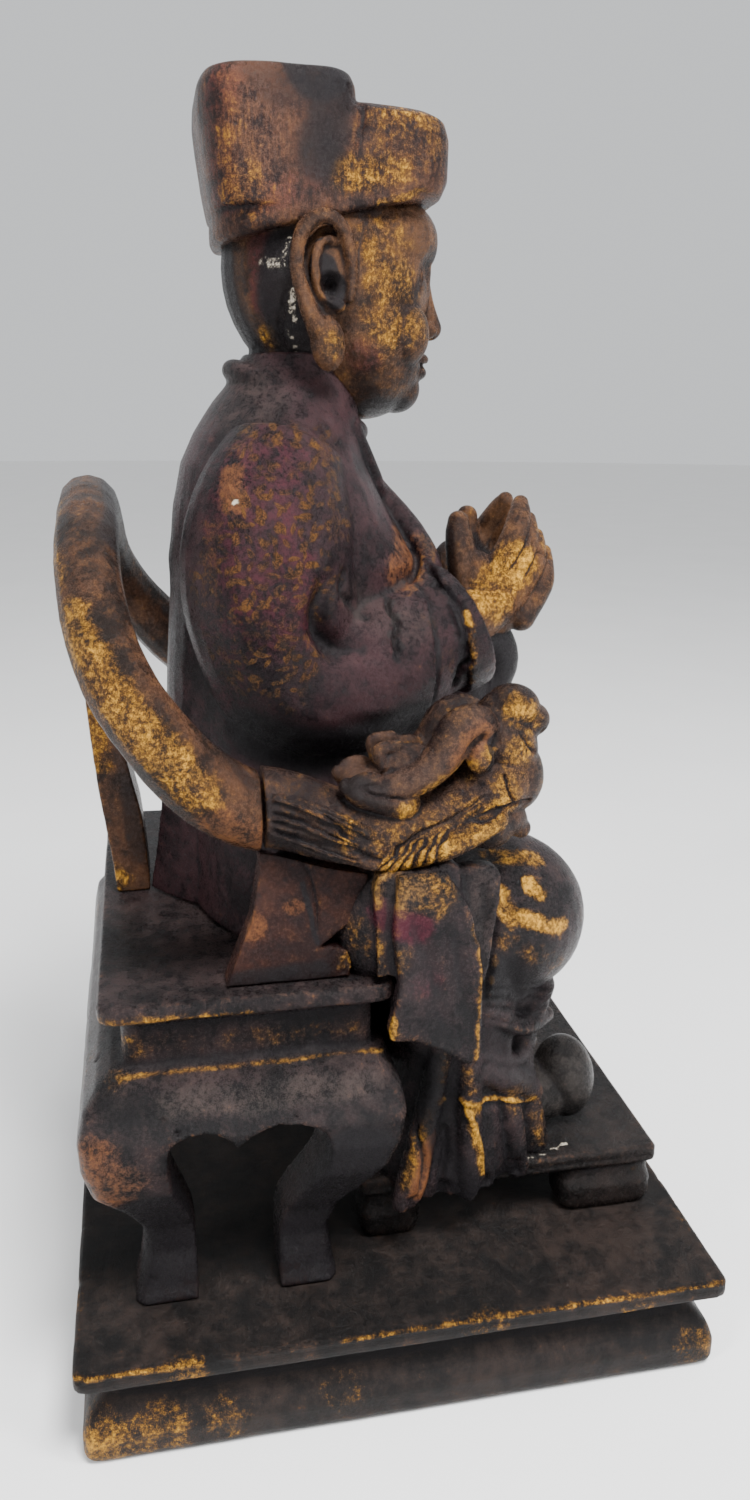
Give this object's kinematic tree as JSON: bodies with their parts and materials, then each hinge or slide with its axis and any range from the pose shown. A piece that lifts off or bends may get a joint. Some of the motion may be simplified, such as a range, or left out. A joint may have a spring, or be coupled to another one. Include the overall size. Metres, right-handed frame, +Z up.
{
  "type": "carved wooden ancestor figure",
  "caption": "Carved, lacquered and gilt wooden official in a court hat, seated in a round-backed chair with dragon arms on a moulded plinth; stands by its own weight.",
  "frame": {"origin": "centre of the plinth's underside", "axes": "+Z up, the figure faces -Y, and its right hand is on the -X side"},
  "size_m": [0.176, 0.175, 0.3341],
  "materials": {
    "plinth": "dusty near-black lacquer with a few worn gold patches",
    "seat": "dark purple-brown lacquer, dusty on top, worn orange-gold along the mouldings",
    "footstool": "near-black lacquer, dusty",
    "chair_back": "brown lacquer under worn gold leaf, satin",
    "dragon_arms": "worn gold leaf over brown lacquer, dark in the hollows",
    "arm_panels": "dark red-brown lacquer with worn orange spots",
    "figure": "maroon and dark grey lacquer with fine gold floral tracery, worn gold on hat, head and hands, dusty"
  },
  "bodies": {
    "root": {"plinth": "plinth", "seat": "seat", "footstool": "footstool", "back_splat": "chair_back", "crest_rail": "chair_back", "dragon_arm_right": "dragon_arms", "dragon_arm_left": "dragon_arms", "arm_panel_right": "arm_panels", "arm_panel_left": "arm_panels", "figure": "figure"}
  },
  "joints": []
}
